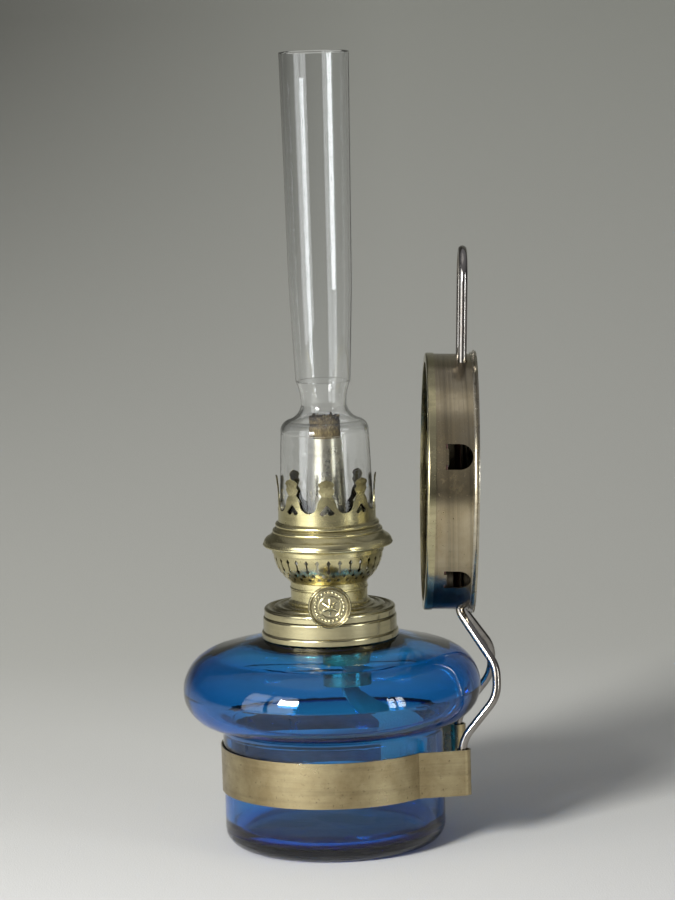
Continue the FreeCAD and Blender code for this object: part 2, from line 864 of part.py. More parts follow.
def reflector_drum():
    """The drum wall, with four tongues pressed in from it and four holes for the wires."""
    radius = size("drum_radius")
    gauge = size("drum_sheet")
    along = V(1, 0, 0)
    wall = Part.makeCylinder(radius, size("drum_depth"), V(0, 0, 0), along)
    wall = wall.cut(Part.makeCylinder(radius - gauge, size("drum_depth"), V(0, 0, 0), along))
    angles = [180 - size("tongue_upper_angle"), 180 + size("tongue_lower_angle")]
    angles += [size("tongue_upper_angle"), -size("tongue_lower_angle")]
    windows = []
    tongues = []
    for angle in angles:
        turn = FreeCAD.Rotation(V(1, 0, 0), angle)
        windows.append(tongue_window(8).translated(V(0, radius - 4, 0)))
        flap = tongue_flap(gauge).translated(V(0, radius - gauge / 2, 0))
        tongues.append(flap)
        for item in (windows[-1], flap):
            item.Placement = FreeCAD.Placement(V(0, 0, 0), turn).multiply(item.Placement)
    bore = size("wire_radius") + 0.3
    for side in (-1, 1):
        foot = V(size("wire_x"), side * size("loop_half_width"), -radius - 5)
        windows.append(Part.makeCylinder(bore, 2 * radius + 10, foot))
    shape = wall.cut(windows).fuse(tongues).removeSplitter()
    return leaning(placed("reflector_drum", shape))


def tongue_window(depth):
    """The hole that a tongue leaves: a half-round end, and a notch at each side of the tongue's root."""
    notch = size("tongue_notch")
    half = size("tongue_width") / 2
    root = half - 1.7 * notch
    shoulder = size("tongue_length") - half
    below = [(0, -root), (-notch, -root), (-notch, -half), (shoulder, -half)]
    above = [(along, -across) for along, across in reversed(below)]
    points = [V(size("tongue_x") + along, 0, across) for along, across in below + above]
    edges = [Part.LineSegment(start, stop).toShape() for start, stop in zip(points, points[1:] + points[:1])]
    end = V(size("tongue_x") + size("tongue_length"), 0, 0)
    edges[len(below) - 1] = Part.Arc(points[len(below) - 1], end, points[len(below)]).toShape()
    return Part.Face(Part.Wire(edges)).extrude(V(0, depth, 0))


def tongue_flap(gauge):
    """The tongue, bent in square to the wall, with a round tip."""
    half = size("tongue_width") / 2 - 1.9 * size("tongue_notch")
    reach = size("tongue_length") - 2
    front = size("tongue_x") - gauge
    points = [V(front, 0, -half), V(front, half - reach, -half), V(front, half - reach, half), V(front, 0, half)]
    tip = Part.Arc(points[1], V(front, -reach, 0), points[2]).toShape()
    sides = [Part.LineSegment(points[0], points[1]), Part.LineSegment(points[2], points[3])]
    root = Part.LineSegment(points[3], points[0]).toShape()
    wire = Part.Wire([sides[0].toShape(), tip, sides[1].toShape(), root])
    return Part.Face(wire).extrude(V(gauge, 0, 0))


def front_bezel():
    """The ring at the front that keeps the mirror in: a flat lip with its edge turned over the drum."""
    return leaning(
        turned(
            "front_bezel",
            [
                ("0 - lip_round", "bezel_opening"),
                ("0 - lip_round", "drum_radius - 0.8"),
                ("0.8 - lip_round", "drum_radius + lip_proud", "0.9", 1),
                ("lip_width", "drum_radius + lip_proud"),
                ("lip_width", "drum_radius"),
                ("0", "drum_radius"),
                ("0", "drum_radius - drum_sheet"),
                ("0 - lip_round + drum_sheet", "drum_radius - drum_sheet"),
                ("0 - lip_round + drum_sheet", "bezel_opening"),
            ],
            axis="H_Axis",
        )
    )


def mirror_ball(apex):
    """A ball with the mirror's curve whose furthest point along +X is the apex."""
    rim = size("mirror_radius")
    dish = size("mirror_dish")
    radius = (rim**2 + dish**2) / (2 * dish)
    centre = V(apex - radius, 0, 0)
    ball = Part.makeSphere(radius, centre)
    ball.rotate(centre, V(0, 0, 1), 180)
    return ball


def reflector_mirror():
    """A dished disc of silvered glass, hollow towards the flame."""
    back = worth("mirror_dish + mirror_glass")
    disc = Part.makeCylinder(size("mirror_radius"), back + 1, V(0, 0, 0), V(1, 0, 0))
    shape = disc.common(mirror_ball(back)).cut(mirror_ball(size("mirror_dish")))
    return leaning(placed("reflector_mirror", shape))


def mirror_backing():
    """A card pressed to the back of the mirror, thicker at its edge where the tongues hold it."""
    start = size("mirror_glass")
    depth = worth("tongue_x - drum_sheet") - start
    disc = Part.makeCylinder(size("mirror_radius"), depth, V(start, 0, 0), V(1, 0, 0))
    return leaning(placed("mirror_backing", disc.cut(mirror_ball(worth("mirror_dish + mirror_glass")))))


def reflector_back():
    """The flat back plate, with its edge rolled over the end of the drum."""
    return leaning(
        turned(
            "reflector_back",
            [
                ("drum_depth", "0"),
                ("drum_depth + drum_sheet", "0"),
                ("drum_depth + drum_sheet", "back_radius - 1.2"),
                ("drum_depth + 0.9", "back_radius"),
                ("drum_depth - 0.2", "back_radius + 1.4", "1.2", 1),
                ("drum_depth - 1.5", "drum_radius + 0.7", "1.3", 1),
                ("drum_depth - 1.5", "drum_radius"),
                ("drum_depth", "drum_radius"),
            ],
            axis="H_Axis",
        )
    )


# ---------------------------------------------------------------- build, check and write

PIECES = [
    font_glass,
    collar,
    collar_cement,
    thread_ring,
    burner_cap,
    burner_throat,
    wick_case,
    air_basket,
    tube_plate,
    diffuser_plate,
    outer_wick_tube,
    draft_tube,
    shaft_bush,
    wick,
    wick_shaft,
    raiser_wheels,
    knob,
    knob_rivet,
    gallery,
    chimney_seat,
    chimney_glass,
    hanger_wire,
    strap,
    reflector_drum,
    front_bezel,
    reflector_mirror,
    mirror_backing,
    reflector_back,
]


def main():
    pieces = [make() for make in PIECES]
    doc.recompute()
    failed = [item.Label for item in doc.Objects if {"Invalid", "Error"} & set(item.State)]
    if failed:
        raise RuntimeError(f"failed objects: {failed}")
    os.makedirs("parts", exist_ok=True)
    for piece in pieces:
        if piece.Shape.isNull() or not piece.Shape.isValid() or not piece.Shape.Solids:
            raise RuntimeError(f"{piece.Label} has no valid solid")
        piece.Shape.exportStep(f"parts/{piece.Label}.step")
        box = piece.Shape.BoundBox
        print(f"{piece.Label:18s} {len(piece.Shape.Solids)} solid(s) {piece.Shape.Volume:10.1f} mm3", box)


main()
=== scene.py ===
"""The looks of a kerosene lamp: blue glass font, brass burner, glass chimney and mirror reflector.

Everything is in metres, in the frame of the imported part: the lamp stands on z = 0 with its axis on Z,
the reflector is on the +X side and the wick knob faces -Y.
"""

import json
import math
import random

import bmesh
import bpy
from mathutils import Matrix, Vector, noise


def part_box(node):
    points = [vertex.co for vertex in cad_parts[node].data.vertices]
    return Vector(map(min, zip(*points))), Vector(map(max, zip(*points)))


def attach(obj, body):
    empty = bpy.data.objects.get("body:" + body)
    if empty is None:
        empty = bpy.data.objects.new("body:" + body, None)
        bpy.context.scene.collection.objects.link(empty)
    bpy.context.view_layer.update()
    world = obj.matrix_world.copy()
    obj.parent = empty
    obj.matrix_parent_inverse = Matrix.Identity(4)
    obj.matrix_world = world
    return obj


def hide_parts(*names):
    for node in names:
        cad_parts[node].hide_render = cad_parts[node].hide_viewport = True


MM = 0.001

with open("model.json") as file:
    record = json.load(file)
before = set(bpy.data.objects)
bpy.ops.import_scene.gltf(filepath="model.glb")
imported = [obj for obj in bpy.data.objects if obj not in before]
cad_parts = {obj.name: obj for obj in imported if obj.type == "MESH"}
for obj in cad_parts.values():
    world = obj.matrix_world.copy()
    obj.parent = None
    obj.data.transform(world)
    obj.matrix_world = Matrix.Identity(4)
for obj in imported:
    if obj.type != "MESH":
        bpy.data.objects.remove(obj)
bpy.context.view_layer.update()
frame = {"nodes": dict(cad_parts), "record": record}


# ---------------------------------------------------------------- node helpers


class Nodes:
    """A short way to build a node material."""

    def __init__(self, name):
        self.material = bpy.data.materials.new(name)
        self.material.use_nodes = True
        self.tree = self.material.node_tree
        self.shader = self.tree.nodes["Principled BSDF"]
        self.output = self.tree.nodes["Material Output"]

    def add(self, kind, **settings):
        node = self.tree.nodes.new(kind)
        for name, value in settings.items():
            setattr(node, name, value)
        return node

    def link(self, start, end):
        self.tree.links.new(start, end)

    def put(self, socket, value):
        """Link a socket or set a constant."""
        if isinstance(value, bpy.types.NodeSocket):
            self.link(value, socket)
        else:
            socket.default_value = value

    def place(self):
        """Where a point of the piece is, in metres."""
        return self.add("ShaderNodeTexCoord").outputs["Object"]

    def math(self, operation, first, second=0.0):
        node = self.add("ShaderNodeMath", operation=operation)
        self.put(node.inputs[0], first)
        self.put(node.inputs[1], second)
        return node.outputs[0]

    def noise(self, vector, scale, detail, rough=0.55):
        node = self.add("ShaderNodeTexNoise")
        self.link(vector, node.inputs["Vector"])
        node.inputs["Scale"].default_value = scale
        node.inputs["Detail"].default_value = detail
        node.inputs["Roughness"].default_value = rough
        return node.outputs["Fac"]

    def ramp(self, factor, *stops):
        """Colours along a factor: each stop is (place, colour)."""
        node = self.add("ShaderNodeValToRGB")
        elements = node.color_ramp.elements
        while len(elements) < len(stops):
            elements.new(0.5)
        for element, (place, colour) in zip(elements, stops):
            element.position = place
            element.color = (*colour, 1.0)
        self.link(factor, node.inputs["Fac"])
        return node.outputs["Color"]

    def span(self, value, low, high, to_low=0.0, to_high=1.0):
        """Turn low to high into 0 to 1, or to another range, and stop at its ends."""
        node = self.add("ShaderNodeMapRange")
        self.put(node.inputs["Value"], value)
        limits = {"From Min": low, "From Max": high, "To Min": to_low, "To Max": to_high}
        for name, number in limits.items():
            node.inputs[name].default_value = number
        return node.outputs["Result"]

    def mix(self, factor, first, second):
        """The first colour at 0, the second at 1; each is a socket or (red, green, blue)."""
        node = self.add("ShaderNodeMix", data_type="RGBA")
        self.put(node.inputs["Factor"], factor)
        self.put(node.inputs["A"], first if not isinstance(first, tuple) else (*first, 1.0))
        self.put(node.inputs["B"], second if not isinstance(second, tuple) else (*second, 1.0))
        return node.outputs["Result"]

    def stretch(self, vector, scale):
        node = self.add("ShaderNodeMapping")
        self.link(vector, node.inputs["Vector"])
        node.inputs["Scale"].default_value = scale
        return node.outputs["Vector"]

    def parts(self, vector):
        """The X, Y and Z of a vector, by name."""
        node = self.add("ShaderNodeSeparateXYZ")
        self.link(vector, node.inputs[0])
        return node.outputs

    def around(self, vector, along, radius):
        """Unroll a round piece into arc length and place along its axis, which is Z or X."""
        parts = self.parts(vector)
        first, second = ("X", "Y") if along == "Z" else ("Y", "Z")
        angle = self.math("ARCTAN2", parts[first], parts[second])
        joined = self.add("ShaderNodeCombineXYZ")
        self.link(self.math("MULTIPLY", angle, radius), joined.inputs[0])
        self.link(parts[along], joined.inputs[1])
        return joined.outputs[0]

    def inner_face(self, vector, along):
        """1 on the inner face of a round shell, 0 on its outer face and its ends."""
        flat = self.add("ShaderNodeVectorMath", operation="MULTIPLY")
        self.link(vector, flat.inputs[0])
        flat.inputs[1].default_value = (0.0, 1.0, 1.0) if along == "X" else (1.0, 1.0, 0.0)
        outward = self.add("ShaderNodeVectorMath", operation="NORMALIZE")
        self.link(flat.outputs["Vector"], outward.inputs[0])
        turned = self.add("ShaderNodeVectorTransform", vector_type="NORMAL")
        turned.convert_from = "WORLD"
        turned.convert_to = "OBJECT"
        self.link(self.add("ShaderNodeNewGeometry").outputs["True Normal"], turned.inputs["Vector"])
        dot = self.add("ShaderNodeVectorMath", operation="DOT_PRODUCT")
        self.link(outward.outputs["Vector"], dot.inputs[0])
        self.link(turned.outputs["Vector"], dot.inputs[1])
        return self.span(dot.outputs["Value"], -0.15, -0.45)

    def bump(self, height, strength, distance, normal=None):
        """Relief from a height of 0 to 1, where 1 is a distance in metres, over another relief."""
        node = self.add("ShaderNodeBump")
        self.link(height, node.inputs["Height"])
        node.inputs["Strength"].default_value = strength
        node.inputs["Distance"].default_value = distance
        if normal is not None:
            self.link(normal, node.inputs["Normal"])
        return node.outputs["Normal"]

    def surface(self, **inputs):
        """Set the shader's own sockets, by name with underscores for spaces."""
        for name, value in inputs.items():
            socket = self.shader.inputs[name.replace("_", " ")]
            if isinstance(value, tuple) and len(value) == 3:
                value = (*value, 1.0)
            self.put(socket, value)
        return self.material


# ---------------------------------------------------------------- materials


BLUE_GLASS_ABSORBS = (0.01, 0.67, 0.92, 1.0)
BLUE_GLASS_DENSITY = 610.0


def blue_glass():
    """Deep blue blown glass: the colour comes from the thickness that the light crosses."""
    n = Nodes("blue_glass")
    place = n.place()
    waves = n.noise(n.stretch(place, (1.0, 1.0, 0.45)), 34.0, 1.0)
    seeds = n.noise(place, 260.0, 1.0)
    normal = n.bump(seeds, 0.05, 0.0002, n.bump(waves, 0.4, 0.0014))
    absorb = n.add("ShaderNodeVolumeAbsorption")
    absorb.inputs["Color"].default_value = BLUE_GLASS_ABSORBS
    absorb.inputs["Density"].default_value = BLUE_GLASS_DENSITY
    n.link(absorb.outputs[0], n.output.inputs["Volume"])
    return n.surface(
        Base_Color=(0.97, 0.99, 1.0), Roughness=0.0, IOR=1.52, Transmission_Weight=1.0, Normal=normal
    )


def clear_glass():
    """The chimney's thin glass, with faint waves drawn out along it."""
    n = Nodes("clear_glass")
    waves = n.noise(n.stretch(n.place(), (1.0, 1.0, 0.12)), 60.0, 1.0)
    normal = n.bump(waves, 0.25, 0.0006)
    return n.surface(
        Base_Color=(0.995, 1.0, 1.0), Roughness=0.0, IOR=1.47, Transmission_Weight=1.0, Normal=normal
    )


# Near black: the colour of soot, and of the painted shade on the inner faces of round shells.
SOOT_AND_SHADE = (0.02, 0.016, 0.01)
HOLLOW_REACH = 0.0022


def metal(
    name,
    clean,
    dull,
    dark,
    rough=0.2,
    along="Z",
    radius=0.03,
    brushed=0.5,
    patch=0.5,
    spots=0.5,
    inside=0.0,
    scorched=None,
):
    """Old sheet metal: brushing round the piece, dull patches, dark spots, and patina with painted shade
    in its recesses.

    The piece is round, with its axis along Z or X and about this radius. clean, dull and dark are the
    colours of its metal, brushed is the depth of the brushing, patch the share of dull metal and spots
    that of the dark oxide specks. inside is how dark painted shade makes the inner face of a round
    shell, and scorched the heights between which the flame's heat browns the metal.
    """
    n = Nodes(name)
    place = n.place()
    unrolled = n.around(place, along, radius)
    brushing = n.noise(n.stretch(unrolled, (45.0, 2400.0, 1.0)), 1.0, 3.0, 0.7)
    streaks = n.noise(n.stretch(unrolled, (25.0, 420.0, 1.0)), 1.0, 2.0, 0.6)
    patches = n.noise(place, 48.0, 7.0, 0.62)
    specks = n.noise(place, 640.0, 5.0, 0.7)
    # Painted shade with patina: the recesses that ambient occlusion finds are coloured dark.
    shelter = n.add("ShaderNodeAmbientOcclusion", samples=6, only_local=True)
    shelter.inputs["Distance"].default_value = HOLLOW_REACH
    hollow_patina_and_shade = n.span(shelter.outputs["AO"], 0.35, 0.9, 1.0, 0.0)
    tone = n.mix(n.math("MULTIPLY", n.span(patches, 0.40, 0.64), patch * 1.6), clean, dull)
    tone = n.mix(n.math("MULTIPLY", n.span(brushing, 0.35, 0.7), brushed * 0.5), tone, dull)
    tone = n.mix(n.math("MULTIPLY", n.span(streaks, 0.48, 0.7), brushed * 0.45), tone, dark)
    tarnish_and_shade = n.math("MULTIPLY", n.span(specks, 0.60, 0.74), spots)
    # The painted shade and patina of the recesses join the dark spots here.
    tarnish_and_shade = n.math("MAXIMUM", tarnish_and_shade, n.math("MULTIPLY", hollow_patina_and_shade, 0.8))
    tone = n.mix(tarnish_and_shade, tone, dark)
    roughness = n.span(patches, 0.35, 0.7, rough - 0.05, rough + 0.09)
    roughness = n.math("ADD", roughness, n.math("MULTIPLY", tarnish_and_shade, 0.25))
    # Painted shade: the inner face of a round shell is coloured darker, towards near black.
    if inside:
        tone = n.mix(n.math("MULTIPLY", n.inner_face(place, along), inside), tone, SOOT_AND_SHADE)
    if scorched:
        heat = n.span(n.parts(place)["Z"], *scorched)
        burnt = n.math("MULTIPLY", heat, n.span(specks, 0.3, 0.62, 0.55, 1.0))
        tone = n.mix(n.math("MULTIPLY", burnt, 0.85), tone, dark)
        roughness = n.math("ADD", roughness, n.math("MULTIPLY", burnt, 0.15))
    normal = n.bump(brushing, 0.16 * brushed, 0.00005)
    normal = n.bump(specks, 0.08, 0.00005, normal)
    normal = n.bump(patches, 0.12, 0.0004, normal)
    return n.surface(Base_Color=tone, Metallic=1.0, Roughness=roughness, Normal=normal)


BRASS_TONES = ((0.66, 0.60, 0.35), (0.44, 0.39, 0.20), (0.075, 0.062, 0.028))


def brass():
    """Bare brass of the burner, with painted shade blackening its inner faces."""
    return metal("brass", *BRASS_TONES, rough=0.24, radius=0.022, inside=0.93)


def sooty_brass():
    """The plates and tubes inside the burner, black with soot and old oil."""
    return metal("sooty_brass", (0.16, 0.13, 0.07), (0.09, 0.07, 0.04), SOOT_AND_SHADE, rough=0.5, radius=0.015)


def gallery_metal():
    """Brass whose prongs are browned by the flame, with painted shade darkening its inner face."""
    prongs = (0.148, 0.156)
    return metal("gallery_metal", *BRASS_TONES, rough=0.22, radius=0.022, inside=0.9, scorched=prongs)


def plated_brass():
    """The collar, knob and bezel: thin plating with the brass showing through."""
    return metal(
        "plated_brass", (0.52, 0.47, 0.28), (0.40, 0.36, 0.22), (0.11, 0.085, 0.045),
        rough=0.19,
    )


def tube_metal():
    """The wick tube, dulled by the heat of the flame."""
    return metal(
        "tube_metal", (0.74, 0.72, 0.62), (0.50, 0.47, 0.37), (0.10, 0.08, 0.05),
        rough=0.27, radius=0.008,
    )


def strap_metal():
    """The plating of the strap is worn down to dull brown brass."""
    return metal(
        "strap_metal", (0.46, 0.385, 0.225), (0.27, 0.21, 0.11), (0.07, 0.05, 0.03),
        rough=0.3, radius=0.047, brushed=0.45, patch=0.6, spots=0.9,
    )


def drum_metal():
    """Brushed round the drum, with its plating worn through to brown brass, and painted shade on its
    inner face.
    """
    return metal(
        "drum_metal", (0.46, 0.40, 0.28), (0.30, 0.24, 0.14), (0.06, 0.05, 0.035),
        rough=0.2, along="X", radius=0.054, brushed=0.9, patch=0.5, spots=0.5, inside=0.6,
    )


def back_metal():
    """The drum's back plate, paler than its wall."""
    return metal("back_metal", (0.52, 0.48, 0.38), (0.36, 0.31, 0.21), (0.08, 0.06, 0.04), rough=0.24)


def plated_steel():
    """The hanger's drawn wire, hardly brushed."""
    return metal(
        "plated_steel", (0.36, 0.34, 0.32), (0.22, 0.195, 0.165), (0.05, 0.04, 0.03),
        rough=0.17, brushed=0.15,
    )


def steel():
    return metal("steel", (0.5, 0.5, 0.48), (0.36, 0.35, 0.33), (0.1, 0.1, 0.1))


def silvered_glass():
    """The mirror, with brown foxing where its silver has gone."""
    n = Nodes("silvered_glass")
    fox = n.noise(n.place(), 60.0, 6.0, 0.65)
    colour = n.ramp(fox, (0.0, (0.86, 0.87, 0.86)), (0.62, (0.82, 0.82, 0.8)), (0.72, (0.3, 0.24, 0.18)))
    return n.surface(Base_Color=colour, Metallic=1.0, Roughness=n.span(fox, 0.4, 0.8, 0.03, 0.3))


def card():
    n = Nodes("card")
    fibre = n.noise(n.place(), 700.0, 5.0, 0.7)
    colour = n.ramp(fibre, (0.3, (0.12, 0.06, 0.06)), (0.7, (0.26, 0.14, 0.12)))
    return n.surface(Base_Color=colour, Roughness=0.85, Normal=n.bump(fibre, 0.4, 0.0002))


def plaster():
    n = Nodes("plaster")
    grit = n.noise(n.place(), 900.0, 5.0, 0.7)
    colour = n.ramp(grit, (0.3, (0.55, 0.52, 0.45)), (0.7, (0.75, 0.72, 0.64)))
    return n.surface(Base_Color=colour, Roughness=0.9, Normal=n.bump(grit, 0.5, 0.0003))


def cotton():
    """Woven cotton, soaked in oil below, scorched brown and then charred at the flame end."""
    n = Nodes("cotton")
    place = n.place()
    fibre = n.noise(n.stretch(place, (1.0, 1.0, 0.3)), 1900.0, 4.0, 0.7)
    blotch = n.noise(place, 260.0, 3.0, 0.6)
    height = n.parts(place)["Z"]
    char = n.span(height, 0.160, 0.172)
    rim = n.span(height, 0.176, 0.186, 0.0, 0.5)
    crust = n.math("ADD", rim, n.span(blotch, 0.42, 0.6, 0.0, 0.7))
    cloth = n.mix(fibre, (0.36, 0.33, 0.25), (0.74, 0.70, 0.58))
    scorched = n.mix(n.span(fibre, 0.35, 0.65), (0.045, 0.032, 0.014), (0.34, 0.26, 0.12))
    burnt = n.mix(fibre, (0.008, 0.007, 0.006), (0.05, 0.04, 0.028))
    tip = n.mix(crust, scorched, burnt)
    return n.surface(
        Base_Color=n.mix(char, cloth, tip), Roughness=0.95, Normal=n.bump(fibre, 0.8, 0.0003)
    )


# The table tone is the cloth's own; the bend, above and shaded tones are painted shade, the dark room
# tone painted darkness, and the thread tone its weave.
CLOTH_TABLE = (0.52, 0.52, 0.51)
CLOTH_BEND_SHADED = (0.50, 0.50, 0.455)
CLOTH_ABOVE_SHADED = (0.37, 0.375, 0.33)
CLOTH_SHADED = (0.09, 0.09, 0.075)
CLOTH_THREAD = (0.3, 0.3, 0.28)
DARK_ROOM = (0.05, 0.05, 0.05)


def backdrop_cloth():
    """A pale cloth, brightest on the table, with painted shade up the back and on the left and painted
    darkness in front.
    """
    n = Nodes("backdrop_cloth")
    place = n.place()
    parts = n.parts(place)
    weave = n.noise(n.stretch(place, (1.0, 0.35, 1.0)), 1400.0, 2.0, 0.6)
    # Painted shade: the cloth is coloured darker towards the bend, up the back and most on the upper
    # left, where less light falls.
    rise = n.span(parts["Z"], 0.0, 0.32)
    left = n.math("MULTIPLY", n.span(parts["X"], 0.06, -0.3), rise)
    tone = n.mix(n.span(parts["Y"], -0.15, 0.45), CLOTH_TABLE, CLOTH_BEND_SHADED)
    tone = n.mix(rise, tone, CLOTH_ABOVE_SHADED)
    tone = n.mix(n.math("MULTIPLY", left, 0.85), tone, CLOTH_SHADED)
    # Painted darkness: in front of the lamp the cloth is coloured near black.
    tone = n.mix(n.span(parts["Y"], -0.45, -0.95), tone, DARK_ROOM)
    tone = n.mix(n.math("MULTIPLY", weave, 0.16), tone, CLOTH_THREAD)
    return n.surface(Base_Color=tone, Roughness=0.95, Normal=n.bump(weave, 0.25, 0.0004))


MATERIALS = {
    "blue_glass": blue_glass(),
    "clear_glass": clear_glass(),
    "silvered_glass": silvered_glass(),
    "brass": brass(),
    "plated_brass": plated_brass(),
    "plated_steel": plated_steel(),
    "steel": steel(),
    "cotton": cotton(),
    "plaster": plaster(),
    "card": card(),
}
NODE_MATERIALS = {
    "gallery": gallery_metal(),
    "strap": strap_metal(),
    "outer_wick_tube": tube_metal(),
    "front_bezel": MATERIALS["plated_brass"],
    "reflector_drum": drum_metal(),
    "reflector_back": back_metal(),
} | dict.fromkeys(["tube_plate", "diffuser_plate", "draft_tube"], sooty_brass())


def dress(piece, material):
    piece.data.materials.clear()
    piece.data.materials.append(material)


def dress_cad_nodes():
    """Give every CAD node the material made for it, or else that of the slot that the record names."""
    for part in frame["record"]["subparts"]:
        node = part["node"]
        dress(frame["nodes"][node], NODE_MATERIALS.get(node, MATERIALS[part["material_slot"]]))


# ---------------------------------------------------------------- pieces


def smooth_piece(name, work, node, body, slot):
    """Turn a bmesh in millimetres into a piece that stands for a CAD node."""
    bmesh.ops.recalc_face_normals(work, faces=work.faces)
    for face in work.faces:
        face.smooth = True
    mesh = bpy.data.meshes.new(name)
    work.to_mesh(mesh)
    mesh.transform(Matrix.Scale(MM, 4))
    piece = bpy.data.objects.new(name, mesh)
    bpy.context.collection.objects.link(piece)
    dress(piece, MATERIALS[slot])
    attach(piece, body)
    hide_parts(node)


def loft(work, loops):
    """A skin through closed loops of points, open at both ends. Gives its rings of vertices."""
    rings = [[work.verts.new(point) for point in loop] for loop in loops]
    for low, high in zip(rings, rings[1:]):
        for index in range(len(low)):
            work.faces.new((low[index - 1], low[index], high[index], high[index - 1]))
    return rings


def capped_loft(work, loops):
    rings = loft(work, loops)
    work.faces.new(rings[0][::-1])
    work.faces.new(rings[-1])


def ease(value):
    """0 to 1, with a soft start and stop."""
    value = min(1.0, max(0.0, value))
    return value * value * (3.0 - 2.0 * value)


def between(stages, height):
    """The values of a list of stages (height, values...), from the top down, at a height."""
    for upper, lower in zip(stages, stages[1:]):
        if height >= lower[0]:
            part = ease((upper[0] - height) / (upper[0] - lower[0]))
            return [high + (low - high) * part for high, low in zip(upper[1:], lower[1:])]
    return stages[-1][1:]


# millimetres and degrees; the wick from its rim down: height, distance from the lamp's axis, half its
# width, curl (1 / radius) and twist
WICK_STAGES = [
    (182.0, 5.7, 17.6, 1 / 5.7, 0.0),
    (130.0, 5.7, 17.6, 1 / 5.7, 0.0),
    (121.0, 5.7, 6.2, 1 / 5.7, 0.0),
    (98.0, 5.7, 6.2, 1 / 5.7, 0.0),
    (84.0, 6.4, 6.4, 0.001, 0.0),
    (70.0, 7.0, 6.6, 0.001, 25.0),
    (44.0, 30.0, 10.0, 0.001, 90.0),
    (17.4, 30.4, 10.2, 0.001, 90.0),
]
WICK_THICK = 1.35
WICK_CORD = 1.35
WICK_ROW = 0.6
WICK_COLUMNS = 104
CORD_RELIEF = 0.14
ROW_RELIEF = 0.08
FIBRES = 220
FIBRE_ROOT_RADIUS = (5.1, 6.3)
FIBRE_TIP_RADIUS = (5.3, 6.55)
FIBRE_ROOTS = (176.0, 180.0)
FIBRE_RISE = (1.5, 4.5)
FIBRE_THICK = (0.16, 0.36)
FRAY_FROM = 173.0
FRAY_RISE = 3.6
FRAY_SPREAD = 0.45


def wick_section(height, columns):
    """One closed loop of the wick: its outer face, then its inner face, at a height."""
    reach, half, curl, twist = between(WICK_STAGES, height)
    twist = math.radians(twist)
    across = Vector((math.sin(twist), math.cos(twist), 0.0))
    outward = Vector((math.cos(twist), -math.sin(twist), 0.0))
    sway = 1.3 * math.sin(height / 8.5) * ease((62.0 - height) / 20.0)
    centre = Vector((reach, sway, height))
    faces = ([], [])
    for column in range(columns + 1):
        run = half * (2.0 * column / columns - 1.0)
        turn = run * curl
        normal = outward * math.cos(turn) + across * math.sin(turn)
        middle = centre + across * (math.sin(turn) / curl) - outward * ((1.0 - math.cos(turn)) / curl)
        cords = abs(math.sin(math.pi * run / WICK_CORD))
        offset = math.pi / 2 if int(run // WICK_CORD) % 2 else 0.0
        rows = math.sin(2.0 * math.pi * height / (4.0 * WICK_ROW) + offset)
        relief = CORD_RELIEF * cords + ROW_RELIEF * rows
        if height > FRAY_FROM:
            lift = (height - FRAY_FROM) / (WICK_STAGES[0][0] - FRAY_FROM)
            coarse = noise.noise(Vector((run * 0.9, 0.0, 3.0)))
            fine = noise.noise(Vector((run * 3.1, 5.0, 0.0)))
            loose = noise.noise(Vector((run * 0.8, height * 0.35, 9.0)))
            rise = lift * (FRAY_RISE * coarse + FRAY_RISE / 2 * fine)
            middle = middle + Vector((0.0, 0.0, rise)) + normal * (FRAY_SPREAD * lift * loose)
        faces[0].append(middle + normal * (WICK_THICK / 2 + relief))
        faces[1].append(middle - normal * (WICK_THICK / 2 - 0.3 + relief * 0.5))
    return faces[0] + faces[1][::-1]


def add_fibre(work, root, tip, thick):
    """A tapered thread from root to tip that arches a little on its way."""
    sides = 5
    steps = 4
    arch = 0.35
    taper = 0.8
    ahead = (tip - root).normalized()
    first = ahead.orthogonal().normalized()
    second = ahead.cross(first)
    loops = []
    for step in range(steps + 1):
        part = step / steps
        centre = root.lerp(tip, part) + Vector((0.0, 0.0, arch * math.sin(math.pi * part)))
        width = thick * (1.0 - taper * part)
        angles = [2.0 * math.pi * side / sides for side in range(sides)]
        edges = [first * math.cos(turn) + second * math.sin(turn) for turn in angles]
        loops.append([centre + edge * width for edge in edges])
    capped_loft(work, loops)


def upright(radius, turn, height):
    """A point at a distance and an angle round the lamp's axis."""
    return Vector((radius * math.cos(turn), radius * math.sin(turn), height))


def woven_wick():
    """A round wick: a woven strip curled into a tube, charred and frayed, with its tail in the oil."""
    work = bmesh.new()
    top = WICK_STAGES[0][0]
    bottom = WICK_STAGES[-1][0]
    rows = int((top - bottom) / WICK_ROW)
    heights = [bottom + (top - bottom) * row / rows for row in range(rows + 1)]
    rings = loft(work, [wick_section(height, WICK_COLUMNS) for height in heights])
    for ring in (rings[0], rings[-1]):
        outer = ring[: WICK_COLUMNS + 1]
        inner = ring[WICK_COLUMNS + 1 :][::-1]
        for column in range(WICK_COLUMNS):
            work.faces.new((outer[column], outer[column + 1], inner[column + 1], inner[column]))
    dice = random.Random(7)
    for _ in range(FIBRES):
        turn = dice.uniform(-math.pi, math.pi)
        on_left = math.cos(turn - math.pi) > 0.2
        wild = 1.0 if on_left else 0.45
        root = upright(dice.uniform(*FIBRE_ROOT_RADIUS), turn, dice.uniform(*FIBRE_ROOTS))
        aim = turn + dice.uniform(-0.35, 0.35)
        tip = upright(dice.uniform(*FIBRE_TIP_RADIUS), aim, root.z + dice.uniform(*FIBRE_RISE) * wild)
        add_fibre(work, root, tip, dice.uniform(*FIBRE_THICK))
    smooth_piece("wick_cloth", work, "wick", "wick", "cotton")


def ridge(distance, place, width):
    """A rounded ridge of height 1."""
    return max(0.0, 1.0 - ((distance - place) / width) ** 2)


KNOB_RIM = 0.105


